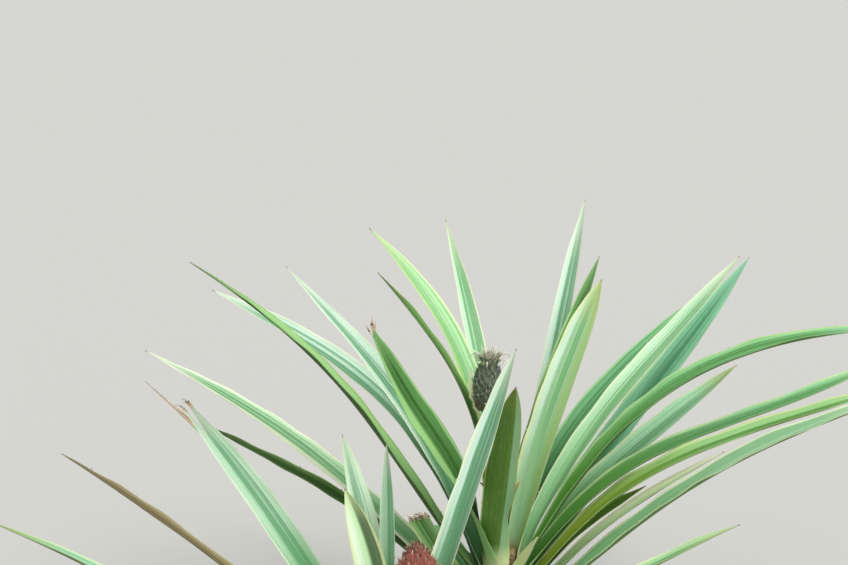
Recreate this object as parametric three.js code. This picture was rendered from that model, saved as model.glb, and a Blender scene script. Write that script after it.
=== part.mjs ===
// Pineapple plant: a clump of two rosettes from one root. Each rosette is a short stem with stiff
// channelled sword leaves round it and a young fruit on a stalk at its centre.
// Millimetres, +Z up. The origin is at ground level, at the centre of the main stem's flat cut.
// +X is to the right and +Y to the back, seen from the side where the smaller shoot stands.
import * as THREE from "three";

// Driving dimensions
const GAP = 0.3; // between pieces that touch
const BLADE_THICKNESS = 3; // of a leaf at the middle of its foot
const BLADE_STATIONS = 12; // stretches along a leaf
const FOOT_SHARE = 0.56; // a leaf's width at its foot, as a share of its full width
const CHANNEL_FOOT = 22; // half the angle of the arc across a leaf, in degrees, at the foot
const CHANNEL_BLADE = 42; // and from a quarter of the way up
const TAPER = 3.4; // how blunt a leaf's tip is
const HANDLE = 0.45; // how far the curve of a leaf holds its first and last direction
const ROUND_SIDES = 24; // sides of stems and fruits
const RING_STEP = 15; // between the rings of a stem

const MAIN_STEM = { radiusGround: 39, radiusLow: 31, radiusTop: 24, height: 256 };
const FRONT_STEM = { radiusRoot: 15, radiusLow: 25, radiusTop: 19, upright: 62, height: 182 };
const FRONT_PLACE = { x: -165, y: -250 }; // the smaller shoot's axis
const FRONT_ROOT_ANGLE = -124; // side of the main stem that it grows from, in degrees from +X
const FRONT_ROOT_HEIGHT = 42;

const MAIN_FRUIT = { bottom: 492, radius: 25, height: 76, crownHeight: 36, offsetX: -24 };
const FRONT_BLOOM = { bottom: 272, radius: 36, height: 105, offsetX: 31 };
const STALK_RADIUS = 9;

const degrees = THREE.MathUtils.degToRad;
const smooth = (value, from, to) => THREE.MathUtils.smoothstep(value, from, to);
const mix = THREE.MathUtils.lerp;

// Leaves are listed from the lowest on the stem to the highest.
// azimuth: the way from the stem to the leaf's tip, degrees from +X towards +Y
// foot: the side of the stem it grows from, where that differs
// reach, top: how far its tip is from the stem's axis, and how high above the ground
// steep, nod: how many degrees steeper it starts, and flatter it ends, than the line to its tip
// sway: how many degrees it starts to one side of that line and ends to the other
// width: its widest chord; turn: how far it turns its upper face to the front
// taper: how blunt its tip is, where that differs from TAPER
const MAIN_LEAVES = [
  { name: "low_side_right", azimuth: 34, reach: 370, top: 90, steep: 24, nod: 30, width: 42 },
  { name: "low_side_left", azimuth: 147, reach: 360, top: 90, steep: 24, nod: 30, width: 42 },
  { name: "low_front_right", azimuth: -52, reach: 520, top: 290, steep: 14, nod: 30, width: 46 },
  { name: "low_back_left", azimuth: 112, reach: 380, top: 130, steep: 22, nod: 30, width: 42 },
  { name: "low_right", azimuth: -27, reach: 560, top: 260, steep: 16, nod: 30, width: 46 },
  { name: "low_back", azimuth: 82, reach: 380, top: 130, steep: 22, nod: 30, width: 42 },
  { name: "low_front", azimuth: -78, reach: 500, top: 330, steep: 14, nod: 26, width: 44 },
  { name: "left_olive", azimuth: 160, reach: 515, top: 394, steep: 12, nod: 8, width: 32 },
  { name: "right_pale", azimuth: -12, reach: 600, top: 566, steep: 8, nod: 12, width: 58 },
  { name: "left_pale", azimuth: 163, reach: 610, top: 527,
    steep: 7, nod: 10, width: 47, turn: 8, taper: 2.2 },
  { name: "right_pale_inner", azimuth: -1, reach: 346, top: 424, steep: 10, nod: 8, width: 32 },
  { name: "left_thin", azimuth: 133, reach: 466, top: 503, steep: 34, nod: 22, width: 26 },
  { name: "right_dark", azimuth: 13, foot: 9, reach: 240, top: 340, steep: 15, nod: 10, width: 32 },
  { name: "back_right_far", azimuth: 40, foot: 50, reach: 572, top: 631,
    steep: 7, nod: 0, width: 46, turn: 20 },
  { name: "right_olive", azimuth: 3, reach: 641, top: 529, steep: 25.4, nod: 10, width: 44 },
  { name: "left_arch", azimuth: 146, reach: 588, top: 584, steep: 35, nod: 23.5, width: 36, turn: 20 },
  { name: "back_right_low", azimuth: 52, foot: 66, reach: 584, top: 525,
    steep: 30, nod: 10, width: 48, turn: 20 },
  { name: "right_grey", azimuth: 24, foot: 17, reach: 428, top: 503,
    steep: 13.6, nod: 6, width: 47, turn: 10 },
  { name: "left_edge", azimuth: 180, reach: 479, top: 731, steep: 5, nod: 15, width: 46, taper: 1.6 },
  { name: "right_long", azimuth: 11, foot: 12, reach: 662, top: 548, steep: 27.5, nod: 1.5, width: 42 },
  { name: "left_wide", azimuth: 155, reach: 383, top: 676,
    steep: 16, nod: 12, width: 44, turn: 28, taper: 1.5 },
  { name: "back_tall", azimuth: 68, foot: 52, reach: 408, top: 732, steep: 0, nod: 0, width: 34 },
  { name: "right_arch", azimuth: 2, foot: -8, reach: 620, top: 620, steep: 28.8, nod: 32.2, width: 52 },
  { name: "back_middle", azimuth: 104, foot: 82, reach: 360, top: 704,
    steep: 4, nod: 4, sway: -6, width: 34, taper: 2.6 },
  { name: "back_right_tall", azimuth: 32, foot: 38, reach: 472, top: 668,
    steep: 15, nod: 5, width: 36, turn: 18 },
  { name: "back_left", azimuth: 137, foot: 112, reach: 291, top: 730,
    steep: 19, nod: 22, sway: -14, width: 42 },
  { name: "back_dark", azimuth: 57, reach: 309, top: 665, steep: 17, nod: 8, width: 32 },
  { name: "front_left_dark", azimuth: 206, foot: 198, reach: 227, top: 662,
    steep: 12, nod: -4, width: 54, turn: 56 },
  { name: "back_olive", azimuth: 158, foot: 150, reach: 212, top: 691, steep: 22.5, nod: 23, width: 22 },
  { name: "back_wide", azimuth: 37, reach: 199, top: 667,
    steep: 8, nod: 4, width: 54, turn: 14, taper: 5 },
  { name: "heart_olive", azimuth: -72, foot: -130, reach: 52, top: 548,
    steep: 0, nod: 2, width: 52, turn: -35 },
];

const FRONT_LEAVES = [
  { name: "low_right", azimuth: 334, reach: 320, top: 240, steep: 18, nod: 30, width: 40 },
  { name: "low_side_left", azimuth: 160, reach: 300, top: 260, steep: 18, nod: 26, width: 40 },
  { name: "low_left", azimuth: 214, reach: 420, top: 330, steep: 14, nod: 30, width: 42 },
  { name: "low_front", azimuth: 262, reach: 430, top: 300, steep: 16, nod: 30, width: 44 },
  { name: "right_low", azimuth: -11, reach: 486, top: 454, steep: 0, nod: 6, width: 38 },
  { name: "low_front_left", azimuth: 238, reach: 400, top: 380, steep: 14, nod: 26, width: 44 },
  { name: "left_back", azimuth: 133, reach: 622, top: 463, steep: 16, nod: 13, width: 20, taper: 1.2 },
  { name: "left_low", azimuth: 190, reach: 560, top: 458, steep: -7.5, nod: 2, width: 36 },
  { name: "low_front_right", azimuth: 300, reach: 400, top: 350, steep: 14, nod: 26, width: 42 },
  { name: "left_thin", azimuth: 180, reach: 473, top: 521, steep: 1.5, nod: 4.5, width: 26 },
  { name: "left_wide", azimuth: 138, reach: 457, top: 480, steep: 1, nod: 6, width: 44, turn: 30 },
  { name: "heart_blue", azimuth: 122, foot: 112, reach: 153, top: 498, steep: 8, nod: 4, width: 42 },
  { name: "heart_front", azimuth: 278, reach: 250, top: 430, steep: 8, nod: 8, width: 44 },
  { name: "left_pale", azimuth: 165, foot: 190, reach: 76, top: 459,
    steep: 8, nod: 10, width: 47, turn: 50 },
  { name: "heart_small", azimuth: 99, reach: 91, top: 500, steep: 2, nod: 2, width: 23, foot: 128 },
  { name: "right_tall", azimuth: 42, foot: 12, reach: 240, top: 623, steep: 1, nod: 0, width: 45 },
];

// Heights of the lowest and the highest foot; below 1, crowd brings the upper feet closer together.
const MAIN_FEET = { first: 28, last: 244, crowd: 0.55 };
const FRONT_FEET = { first: 72, last: 172, crowd: 0.8 };
const SEAT = 0.7; // between a leaf's foot and the stem

// A closed solid through rings of equal count, from a flat first ring to a point or a flat last one.
function loft(rings, apex) {
  const count = rings[0].length;
  const positions = rings.flat().flatMap((p) => [p.x, p.y, p.z]);
  const index = [];
  for (let i = 0; i + 1 < rings.length; i++)
    for (let j = 0; j < count; j++) {
      const a = i * count + j;
      const b = i * count + ((j + 1) % count);
      index.push(a, b, b + count, a, b + count, a + count);
    }
  for (let j = 1; j + 1 < count; j++) index.push(0, j + 1, j);
  const last = (rings.length - 1) * count;
  if (apex) {
    positions.push(apex.x, apex.y, apex.z);
    for (let j = 0; j < count; j++) index.push(last + j, last + ((j + 1) % count), last + count);
  } else {
    for (let j = 1; j + 1 < count; j++) index.push(last, last + j, last + j + 1);
  }
  const geometry = new THREE.BufferGeometry();
  geometry.setAttribute("position", new THREE.Float32BufferAttribute(positions, 3));
  geometry.setIndex(index);
  return geometry;
}

// A direction at an elevation in degrees, turned sideways from +X by a bearing in degrees.
function direction(elevation, bearing) {
  const e = degrees(elevation);
  const b = degrees(bearing);
  return new THREE.Vector3(Math.cos(e) * Math.cos(b), Math.cos(e) * Math.sin(b), Math.sin(e));
}

// The line along the middle of a leaf's upper face, and the ways it faces at its foot and beyond.
function spineOf(leaf, stemRadius, footHeight) {
  const footBearing = leaf.foot ?? leaf.azimuth;
  const foot = direction(0, footBearing).multiplyScalar(stemRadius(footHeight) + SEAT);
  foot.z = footHeight;
  const tip = direction(0, leaf.azimuth).multiplyScalar(leaf.reach).setZ(leaf.top);
  const chord = tip.clone().sub(foot);
  const slope = THREE.MathUtils.radToDeg(Math.atan2(chord.z, Math.hypot(chord.x, chord.y)));
  const chordBearing = THREE.MathUtils.radToDeg(Math.atan2(chord.y, chord.x));
  const bearing = footBearing + THREE.MathUtils.euclideanModulo(chordBearing - footBearing + 180, 360) - 180;
  const sway = leaf.sway ?? 0;
  const handle = HANDLE * chord.length();
  const start = direction(slope + leaf.steep, bearing + sway).multiplyScalar(handle);
  const end = direction(slope - leaf.nod, bearing - sway).multiplyScalar(-handle);
  const curve = new THREE.CubicBezierCurve3(foot, foot.clone().add(start), tip.clone().add(end), tip);
  return { curve, footBearing, bearing };
}

// A leaf's width at a share s of its length: narrow foot, full blade, long taper to the tip.
function widthShare(s, blunt) {
  const foot = mix(FOOT_SHARE, 1, smooth(s, 0, 0.3));
  const taper = s < 0.45 ? 1 : 1 - ((s - 0.45) / 0.55) ** blunt;
  return foot * taper;
}

// The six corners of a leaf's section at a share s of its length: upper middle, margin, three
// below, margin.
function sectionOf(leaf, spine, s) {
  const point = spine.curve.getPointAt(s);
  const along = spine.curve.getTangentAt(s);
  const side = direction(0, 90 + mix(spine.footBearing, spine.bearing, smooth(s, 0, 0.3)));
  side.addScaledVector(along, -side.dot(along)).normalize();
  const turn = (leaf.turn ?? 0) * Math.sign(Math.cos(degrees(spine.bearing)));
  side.applyAxisAngle(along, degrees(turn * smooth(s, 0, 0.5)));
  const up = new THREE.Vector3().crossVectors(along, side);
  const half = (leaf.width / 2) * widthShare(s, leaf.taper ?? TAPER);
  const arc = degrees(mix(CHANNEL_FOOT, CHANNEL_BLADE, smooth(s, 0, 0.25)));
  const radius = half / Math.sin(arc);
  const thickness = BLADE_THICKNESS * (1 - 0.6 * s);
  const corner = (u, below) =>
    point
      .clone()
      .addScaledVector(side, radius * Math.sin(u * arc))
      .addScaledVector(up, radius * (1 - Math.cos(u * arc)) - below);
  return [
    corner(0, 0),
    corner(-1, 0),
    corner(-0.5, thickness),
    corner(0, thickness),
    corner(0.5, thickness),
    corner(1, 0),
  ];
}

const leafMaterial = new THREE.MeshStandardMaterial({ color: 0x7fb386, roughness: 0.55, metalness: 0 });
const stemMaterial = new THREE.MeshStandardMaterial({ color: 0x8f8a63, roughness: 0.85, metalness: 0 });
const fruitMaterial = new THREE.MeshStandardMaterial({ color: 0x5d6650, roughness: 0.8, metalness: 0 });
const bloomMaterial = new THREE.MeshStandardMaterial({ color: 0xa4524a, roughness: 0.8, metalness: 0 });

function named(name, geometry, material) {
  const mesh = new THREE.Mesh(geometry, material);
  mesh.name = name;
  return mesh;
}

function leafMesh(prefix, leaf, stemRadius, footHeight) {
  const spine = spineOf(leaf, stemRadius, footHeight);
  const rings = [];
  for (let i = 0; i < BLADE_STATIONS; i++) rings.push(sectionOf(leaf, spine, i / BLADE_STATIONS));
  return named(`${prefix}_leaf_${leaf.name}`, loft(rings, spine.curve.getPointAt(1)), leafMaterial);
}

// A ring of corners round a centre, square to a direction.
function roundRing(centre, along, radius) {
  const across = new THREE.Vector3(0, 1, 0).cross(along).normalize();
  const over = new THREE.Vector3().crossVectors(along, across);
  return Array.from({ length: ROUND_SIDES }, (_, j) => {
    const turn = (2 * Math.PI * j) / ROUND_SIDES;
    return centre
      .clone()
      .addScaledVector(across, radius * Math.cos(turn))
      .addScaledVector(over, radius * Math.sin(turn));
  });
}

// The main stem's radius: it flares at the ground and narrows to its tip.
function mainRadius(z) {
  const { radiusGround, radiusLow, radiusTop, height } = MAIN_STEM;
  const flare = (radiusGround - radiusLow) * (1 - smooth(z, 0, 34));
  return mix(radiusLow, radiusTop, smooth(z, 0.45 * height, height)) + flare;
}

function mainStem() {
  const up = new THREE.Vector3(0, 0, 1);
  const shoulder = MAIN_STEM.height - 6;
  const rings = [];
  for (let z = 0; z < shoulder; z += RING_STEP)
    rings.push(roundRing(new THREE.Vector3(0, 0, z), up, mainRadius(z)));
  rings.push(roundRing(new THREE.Vector3(0, 0, shoulder), up, mainRadius(shoulder)));
  rings.push(roundRing(new THREE.Vector3(0, 0, MAIN_STEM.height), up, MAIN_STEM.radiusTop - 7));
  return named("main_stem", loft(rings), stemMaterial);
}

function frontRadius(z) {
  return mix(FRONT_STEM.radiusLow, FRONT_STEM.radiusTop, smooth(z, FRONT_STEM.upright, FRONT_STEM.height));
}

// The smaller shoot's stem leaves the main stem close to the ground and turns up.
function frontStem() {
  const out = direction(0, FRONT_ROOT_ANGLE);
  const root = out.clone().multiplyScalar(mainRadius(FRONT_ROOT_HEIGHT) + 3).setZ(FRONT_ROOT_HEIGHT);
  const { x, y } = FRONT_PLACE;
  const path = new THREE.CubicBezierCurve3(
    root,
    root.clone().addScaledVector(out, 110).setZ(30),
    new THREE.Vector3(x, y, 15),
    new THREE.Vector3(x, y, FRONT_STEM.upright),
  );
  const steps = 10;
  const rings = [];
  for (let i = 0; i <= steps; i++) {
    const s = i / steps;
    const radius = mix(FRONT_STEM.radiusRoot, FRONT_STEM.radiusLow, s);
    rings.push(roundRing(path.getPointAt(s), path.getTangentAt(s), radius));
  }
  const up = new THREE.Vector3(0, 0, 1);
  for (let z = FRONT_STEM.upright + RING_STEP; z <= FRONT_STEM.height; z += RING_STEP)
    rings.push(roundRing(new THREE.Vector3(x, y, z), up, frontRadius(z)));
  return named("front_stem", loft(rings), stemMaterial);
}

// A stalk from the tip of a stem to the foot of its fruit, upright at both ends.
function stalk(name, from, to) {
  const rise = new THREE.Vector3(0, 0, 0.4 * (to.z - from.z));
  const path = new THREE.CubicBezierCurve3(from, from.clone().add(rise), to.clone().sub(rise), to);
  const rings = [];
  for (let i = 0; i <= 6; i++)
    rings.push(roundRing(path.getPointAt(i / 6), path.getTangentAt(i / 6), STALK_RADIUS));
  return named(name, loft(rings), stemMaterial);
}

// A round body on a vertical axis from [radius, height] pairs, closed on the axis at both ends.
function turned(name, profile, material) {
  const points = profile.map(([r, z]) => new THREE.Vector2(r, z));
  const geometry = new THREE.LatheGeometry(points, ROUND_SIDES);
  geometry.rotateX(Math.PI / 2);
  return named(name, geometry, material);
}

function barrel(radius, height, shares) {
  return shares.map(([r, h]) => [r * radius, h * height]);
}

const FRUIT_SHAPE = [[0, 0], [0.62, 0], [0.9, 0.16], [1, 0.42], [0.95, 0.68], [0.7, 0.9], [0.4, 1], [0, 1]];
const BLOOM_SHAPE = [[0, 0], [0.6, 0], [0.92, 0.18], [1, 0.42], [0.86, 0.68], [0.52, 0.9], [0.18, 1], [0, 1]];
const CROWN_SHAPE = [[0, 0], [0.3, 0], [0.62, 0.45], [0.55, 0.8], [0.2, 1], [0, 1]];

function fruits() {
  const main = turned("main_fruit", barrel(MAIN_FRUIT.radius, MAIN_FRUIT.height, FRUIT_SHAPE), fruitMaterial);
  main.position.set(MAIN_FRUIT.offsetX, 0, MAIN_FRUIT.bottom);
  const tuft = barrel(MAIN_FRUIT.radius, MAIN_FRUIT.crownHeight, CROWN_SHAPE);
  const crown = turned("main_crown", tuft, fruitMaterial);
  crown.position.set(MAIN_FRUIT.offsetX, 0, MAIN_FRUIT.bottom + MAIN_FRUIT.height + GAP);
  const head = barrel(FRONT_BLOOM.radius, FRONT_BLOOM.height, BLOOM_SHAPE);
  const bloom = turned("front_bloom", head, bloomMaterial);
  bloom.position.set(FRONT_PLACE.x + FRONT_BLOOM.offsetX, FRONT_PLACE.y, FRONT_BLOOM.bottom);
  return [main, crown, bloom];
}

function stalks() {
  const mainTop = new THREE.Vector3(MAIN_FRUIT.offsetX, 0, MAIN_FRUIT.bottom - GAP);
  const frontTop = new THREE.Vector3(
    FRONT_PLACE.x + FRONT_BLOOM.offsetX,
    FRONT_PLACE.y,
    FRONT_BLOOM.bottom - GAP,
  );
  return [
    stalk("main_stalk", new THREE.Vector3(0, 0, MAIN_STEM.height + GAP), mainTop),
    stalk("front_stalk", new THREE.Vector3(FRONT_PLACE.x, FRONT_PLACE.y, FRONT_STEM.height + GAP), frontTop),
  ];
}

// A rosette: its leaves' feet climb the stem evenly, in the order of the list.
function rosette(prefix, leaves, stemRadius, feet) {
  const group = new THREE.Group();
  leaves.forEach((leaf, i) => {
    const height = mix(feet.first, feet.last, (i / (leaves.length - 1)) ** feet.crowd);
    group.add(leafMesh(prefix, leaf, stemRadius, height));
  });
  return group;
}

const plant = new THREE.Group();
const front = rosette("front", FRONT_LEAVES, frontRadius, FRONT_FEET);
front.position.set(FRONT_PLACE.x, FRONT_PLACE.y, 0);
plant.add(mainStem(), frontStem(), ...stalks(), ...fruits());
plant.add(rosette("main", MAIN_LEAVES, mainRadius, MAIN_FEET), front);

export default plant;
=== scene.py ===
import math
from dataclasses import dataclass

import bpy
import numpy as np
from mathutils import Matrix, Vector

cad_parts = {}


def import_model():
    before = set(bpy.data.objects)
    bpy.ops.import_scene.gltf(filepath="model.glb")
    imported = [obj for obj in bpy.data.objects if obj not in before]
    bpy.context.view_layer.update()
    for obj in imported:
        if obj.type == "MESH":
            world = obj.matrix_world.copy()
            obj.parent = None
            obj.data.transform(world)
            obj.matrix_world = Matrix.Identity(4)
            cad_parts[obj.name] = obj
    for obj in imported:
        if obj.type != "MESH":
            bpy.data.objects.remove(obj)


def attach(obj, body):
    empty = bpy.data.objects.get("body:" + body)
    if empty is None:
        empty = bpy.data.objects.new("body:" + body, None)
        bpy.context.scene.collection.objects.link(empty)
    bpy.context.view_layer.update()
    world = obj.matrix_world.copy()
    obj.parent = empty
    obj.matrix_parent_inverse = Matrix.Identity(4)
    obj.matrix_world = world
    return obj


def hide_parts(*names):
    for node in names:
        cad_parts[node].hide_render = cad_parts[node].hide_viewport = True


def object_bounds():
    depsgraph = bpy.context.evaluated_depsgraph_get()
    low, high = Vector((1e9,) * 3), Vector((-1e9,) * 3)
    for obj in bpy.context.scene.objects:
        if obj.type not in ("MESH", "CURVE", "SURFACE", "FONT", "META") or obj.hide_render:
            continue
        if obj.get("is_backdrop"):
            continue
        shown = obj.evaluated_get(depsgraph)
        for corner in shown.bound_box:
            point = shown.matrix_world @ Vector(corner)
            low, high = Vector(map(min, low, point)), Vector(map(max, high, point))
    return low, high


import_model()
cad_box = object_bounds()

MM = 0.001
GOLDEN_ANGLE = 137.508
UP = np.array([0.0, 0.0, 1.0])

# Camera: its frame and focal length in frame units, its place in metres, degrees below level
FRAME_WIDTH = 848
FOCAL_PIXELS = 1800
SENSOR_WIDTH = 36.0
CAMERA_PLACE = (-0.124, -2.622, 1.5)
CAMERA_PITCH = 17

# Plant, as the solids have it
HANDLE = 0.45  # how far a leaf's curve holds its first and last direction
SEAT = 0.7  # between a leaf's foot and the stem
FOOT_SHARE = 0.56  # a blade's width at its foot, as a share of its full width
CHANNEL_FOOT = 22  # half the angle of the arc across a blade, at the foot
CHANNEL_BLADE = 42  # and from a quarter of the way up
GROUND_RADIUS = 39
MAIN_STEM = {"low": 31, "top": 24, "height": 256}
FRONT_STEM = {"root": 15, "low": 25, "top": 19, "upright": 62, "height": 182}
FRONT_PLACE = np.array([-165.0, -250.0, 0.0])
FRONT_ROOT_ANGLE = -124
FRONT_ROOT_HEIGHT = 42
# Heights of the lowest and the highest foot, and a power below 1, which crowds the upper ones
MAIN_FEET = {"first": 28, "last": 244, "crowd": 0.55}
FRONT_FEET = {"first": 72, "last": 172, "crowd": 0.8}
MAIN_FRUIT = {"bottom": 492, "radius": 25, "height": 76, "x": -24, "y": 0}
FRONT_BLOOM = {"bottom": 272, "radius": 36, "height": 105, "x": -134, "y": -250}
STALK_RADIUS = 9
STALK_SEAT = 0.3  # between a stalk's ends and what they meet
# The stub of a broken leaf, and a pale young leaf, on the main stem
STUB = {"bearing": -149, "height": 118, "end": (-131, -79, 345), "width": 36, "turn": -130}
PALE_YOUNG = {"root": (10, -30, 216), "bearing": -50, "length": 116, "width": 20, "lift": 58, "turn": 140}
# A pale toothed bract of the main stalk, which stands against the fruit's left side
CREAM_BRACT = {
    "height": 470, "bearing": 184, "length": 104, "width": 9, "lift": 67, "curl": -30, "turn": -108,
}

# Fine shape of a leaf
BLADE_STATIONS = 84
SHEATH_DROP = 16  # how far a sheath starts below the foot
SHEATH_REACH = 38  # where it has met the blade's own line
SHEATH_ARC = 62  # half the angle that it wraps round the stem
SHEATH_LENGTH = 105  # where the wide sheath has narrowed to the blade
MID_THICKNESS = 2.3
EDGE_THICKNESS = 0.7
SHEATH_THICKER = 1.5  # how many times as thick the sheath is
TWIST = 2.5  # how far a blade turns to and fro along its length
CREASE = 0.75  # how much of the channel is two flat halves instead of an arc
RIBS = ((0.32, 1.6), (0.22, 3.1), (0.12, 5.3))  # the height of each set, and its waves across
EDGE_WAVE = 1.1  # how far the margins rise and fall
TOOTH_LENGTH = 2.4
TOOTH_SPACING = (95, 13)  # along the blade's middle, and near its tip and on its sheath
TOOTH_FIRST = 40.0
TOOTH_LAST = 14  # before the tip
BROWN_POINT = 2.5  # the dead brown part of a tip
TORN_HALF = 4.5  # half of what a torn tip keeps of its width
TORN_GAP = 4.0  # how far each half of a split tip moves aside
SPLIT_COLUMN = 15  # the last column of the half that the split starts beside


@dataclass
class Leaf:
    """Its tip lies at a bearing (azimuth), a reach from the stem's axis and a height (top). The leaf
    starts steeper and ends flatter than the line between its ends, by steep and nod. foot is the
    bearing of its foot, if that isn't azimuth. sway swings it aside, turn tilts its face, and taper
    keeps it wide for longer. By their signs, the two numbers after taper give the half with painted
    light, as light shines through it, and the half with painted shade. dry is the length of a dead
    tip, and split the share where a frayed one parts."""

    name: str
    azimuth: float
    reach: float
    top: float
    steep: float
    nod: float
    width: float
    look: str
    foot: float = None
    sway: float = 0
    turn: float = 0
    taper: float = 3.4
    side_light: float = 0
    shade: float = 0
    dry: float = 4
    split: float = 1
    frayed: bool = False


MAIN_LEAVES = [
    Leaf("low_side_right", 34, 370, 90, 24, 30, 42, "green"),
    Leaf("low_side_left", 147, 360, 90, 24, 30, 42, "green"),
    Leaf("low_front_right", -52, 520, 290, 14, 30, 46, "green"),
    Leaf("low_back_left", 112, 380, 130, 22, 30, 42, "green"),
    Leaf("low_right", -27, 560, 260, 16, 30, 46, "fresh"),
    Leaf("low_back", 82, 380, 130, 22, 30, 42, "green"),
    Leaf("low_front", -78, 500, 330, 14, 26, 44, "teal"),
    Leaf("left_olive", 160, 515, 394, 12, 8, 32, "moss"),
    Leaf("right_pale", -12, 600, 566, 8, 12, 58, "mint", shade=0.4),
    Leaf("left_pale", 163, 610, 527, 7, 10, 47, "ivory", turn=8, taper=2.2, side_light=0.7),
    Leaf("right_pale_inner", -1, 346, 424, 10, 8, 32, "cream"),
    Leaf("left_thin", 133, 466, 503, 34, 22, 26, "cream"),
    Leaf("right_dark", 13, 240, 340, 15, 10, 32, "olive", foot=9),
    Leaf("back_right_far", 40, 572, 631, 7, 0, 46, "sea", foot=50, turn=20),
    Leaf("right_olive", 3, 641, 529, 25.4, 10, 44, "lime"),
    Leaf("left_arch", 146, 588, 584, 35, 23.5, 36, "aqua", turn=20, shade=0.6),
    Leaf("back_right_low", 52, 584, 525, 30, 10, 48, "green", foot=66, turn=20),
    Leaf("right_grey", 24, 428, 503, 13.6, 6, 47, "grey", foot=17, turn=10, dry=6),
    Leaf("left_edge", 180, 479, 731, 5, 15, 46, "moss", taper=1.6, side_light=-0.8),
    Leaf("right_long", 11, 662, 548, 27.5, 1.5, 42, "sun", foot=12),
    Leaf("left_wide", 155, 383, 676, 16, 12, 44, "aqua", turn=28, taper=1.5),
    Leaf("back_tall", 68, 408, 732, 0, 0, 34, "aqua", foot=52, shade=-0.6),
    Leaf("right_arch", 2, 620, 620, 28.8, 32.2, 52, "teal", foot=-8),
    Leaf("back_middle", 104, 360, 704, 4, 4, 34, "mint", foot=82, sway=-6, taper=2.6, shade=-0.9),
    Leaf("back_right_tall", 32, 472, 668, 15, 5, 36, "mint", foot=38, turn=18, shade=-0.5),
    Leaf("back_left", 137, 291, 730, 19, 22, 42, "fresh", foot=112, sway=-14, side_light=0.35),
    Leaf("back_dark", 57, 309, 665, 17, 8, 32, "dark"),
    Leaf(
        "front_left_dark", 206, 227, 662, 12, -4, 54, "dark", foot=198, turn=56, side_light=0.8,
        dry=12, split=0.95, frayed=True,
    ),
    Leaf("back_olive", 158, 212, 691, 22.5, 23, 22, "moss", foot=150),
    Leaf("back_wide", 37, 199, 667, 8, 4, 54, "spring", turn=14, taper=5, side_light=-0.7),
    Leaf("heart_olive", -72, 52, 548, 0, 2, 52, "heart", foot=-130, turn=-35, side_light=0.9),
]

FRONT_LEAVES = [
    Leaf("low_right", 334, 320, 240, 18, 30, 40, "green"),
    Leaf("low_side_left", 160, 300, 260, 18, 26, 40, "green"),
    Leaf("low_left", 214, 420, 330, 14, 30, 42, "green"),
    Leaf("low_front", 262, 430, 300, 16, 30, 44, "teal"),
    Leaf("right_low", -11, 486, 454, 0, 6, 38, "fresh"),
    Leaf("low_front_left", 238, 400, 380, 14, 26, 44, "green"),
    Leaf("left_back", 133, 622, 463, 16, 13, 20, "grey", taper=1.2, dry=140),
    Leaf("left_low", 190, 560, 458, -7.5, 2, 36, "grey"),
    Leaf("low_front_right", 300, 400, 350, 14, 26, 42, "green"),
    Leaf("left_thin", 180, 473, 521, 1.5, 4.5, 26, "russet"),
    Leaf("left_wide", 138, 457, 480, 1, 6, 44, "blue", turn=30, dry=14, frayed=True, split=0.88),
    Leaf("heart_blue", 122, 153, 498, 8, 4, 42, "shoot", foot=112),
    Leaf("heart_front", 278, 250, 430, 8, 8, 44, "mint"),
    Leaf("left_pale", 165, 76, 459, 8, 10, 47, "halved", foot=190, turn=50, side_light=-0.9),
    Leaf("heart_small", 99, 91, 500, 2, 2, 23, "blue", foot=128, shade=-0.8),
    Leaf("right_tall", 42, 240, 623, 1, 0, 45, "aqua", foot=12, shade=-0.9),
]
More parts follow.
